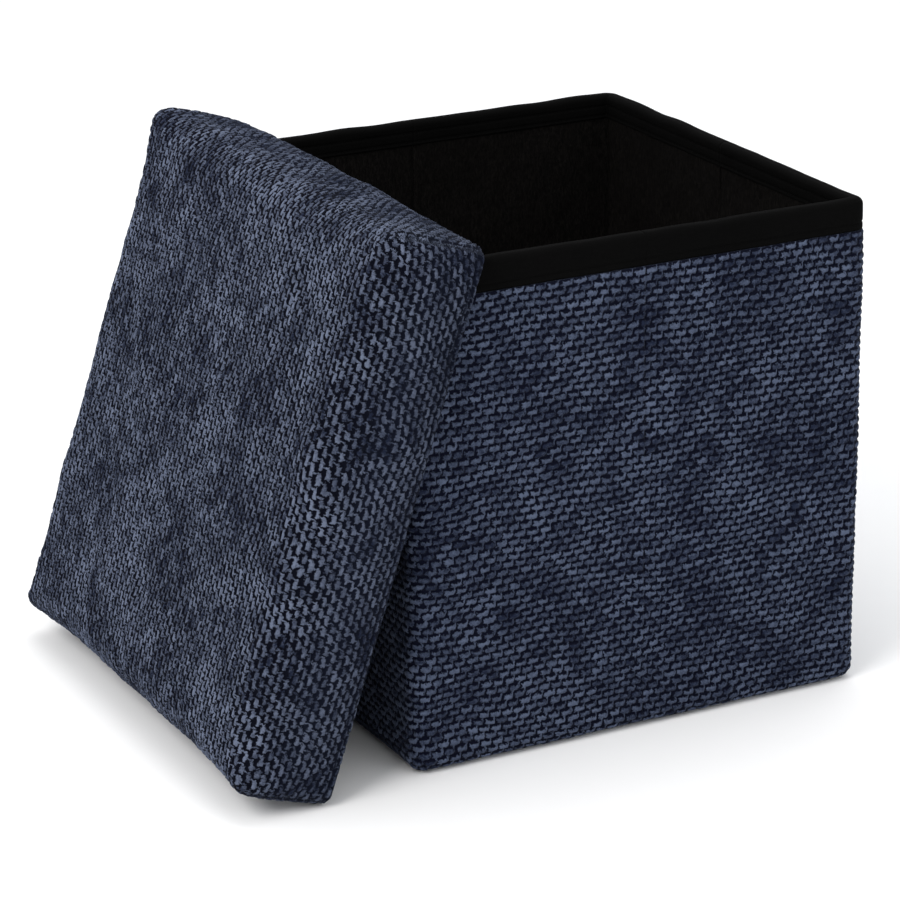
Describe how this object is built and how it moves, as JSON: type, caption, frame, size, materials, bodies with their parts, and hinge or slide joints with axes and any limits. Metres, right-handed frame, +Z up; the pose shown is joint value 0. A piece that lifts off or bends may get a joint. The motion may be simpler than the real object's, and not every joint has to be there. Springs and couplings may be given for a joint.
{
  "type": "folding storage ottoman",
  "caption": "Square fabric-covered storage box that folds flat, with a padded cap lid leaning hooked over its left rim.",
  "frame": {"origin": "centre of the box's underside, on the floor", "axes": "+Z up, -Y towards the front wall, -X towards the leaning lid"},
  "size_m": [0.4758, 0.38, 0.375],
  "materials": {
    "navy_chenille": "chunky matt chenille weave",
    "black_lining": "matt non-woven felt",
    "black_binding": "matt folded tape",
    "grey_board": "bare fibreboard",
    "pale_foam": "soft foam"
  },
  "bodies": {
    "base": {"base_cover": "navy_chenille", "base_board": "grey_board", "base_lining": "black_lining", "front_wall_cover": "navy_chenille", "front_wall_board": "grey_board", "front_wall_lining": "black_lining", "front_wall_binding": "black_binding"},
    "back_wall": {"back_wall_cover": "navy_chenille", "back_wall_board": "grey_board", "back_wall_lining": "black_lining", "back_wall_binding": "black_binding"},
    "left_front": {"left_front_cover": "navy_chenille", "left_front_board": "grey_board", "left_front_lining": "black_lining", "left_front_binding": "black_binding"},
    "left_rear": {"left_rear_cover": "navy_chenille", "left_rear_board": "grey_board", "left_rear_lining": "black_lining", "left_rear_binding": "black_binding"},
    "right_front": {"right_front_cover": "navy_chenille", "right_front_board": "grey_board", "right_front_lining": "black_lining", "right_front_binding": "black_binding"},
    "right_rear": {"right_rear_cover": "navy_chenille", "right_rear_board": "grey_board", "right_rear_lining": "black_lining", "right_rear_binding": "black_binding"},
    "lid": {"lid_cover": "navy_chenille", "lid_pad": "pale_foam", "lid_board": "grey_board", "lid_lining": "black_lining", "lid_skirt_lower": "grey_board", "lid_skirt_upper": "grey_board", "lid_skirt_front": "grey_board", "lid_skirt_rear": "grey_board"}
  },
  "joints": [
    {"name": "lid_lift", "type": "slide", "parent": "base", "child": "lid", "axis": [0, 0, 1], "range_m": [0, 0.45]},
    {"name": "side_fold", "type": "hinge", "parent": "base", "child": "left_front", "pos_m": [-0.1617, -0.1617, 0.175], "axis": [0, 0, -1], "range_deg": [0, 88]},
    {"name": "left_crease", "type": "hinge", "parent": "left_front", "child": "left_rear", "pos_m": [-0.174, 0, 0.175], "axis": [0, 0, 1], "range_deg": [0, 176]},
    {"name": "back_wall_turn", "type": "hinge", "parent": "left_rear", "child": "back_wall", "pos_m": [-0.1617, 0.1617, 0.175], "axis": [0, 0, -1], "range_deg": [0, 88]},
    {"name": "right_fold", "type": "hinge", "parent": "base", "child": "right_front", "pos_m": [0.1617, -0.1617, 0.175], "axis": [0, 0, 1], "range_deg": [0, 88]},
    {"name": "right_crease", "type": "hinge", "parent": "right_front", "child": "right_rear", "pos_m": [0.174, 0, 0.175], "axis": [0, 0, -1], "range_deg": [0, 176]}
  ],
  "couplings": [
    {"joint": "left_crease", "follows": "side_fold", "ratio": 2},
    {"joint": "back_wall_turn", "follows": "side_fold", "ratio": 1},
    {"joint": "right_fold", "follows": "side_fold", "ratio": 1},
    {"joint": "right_crease", "follows": "side_fold", "ratio": 2}
  ]
}
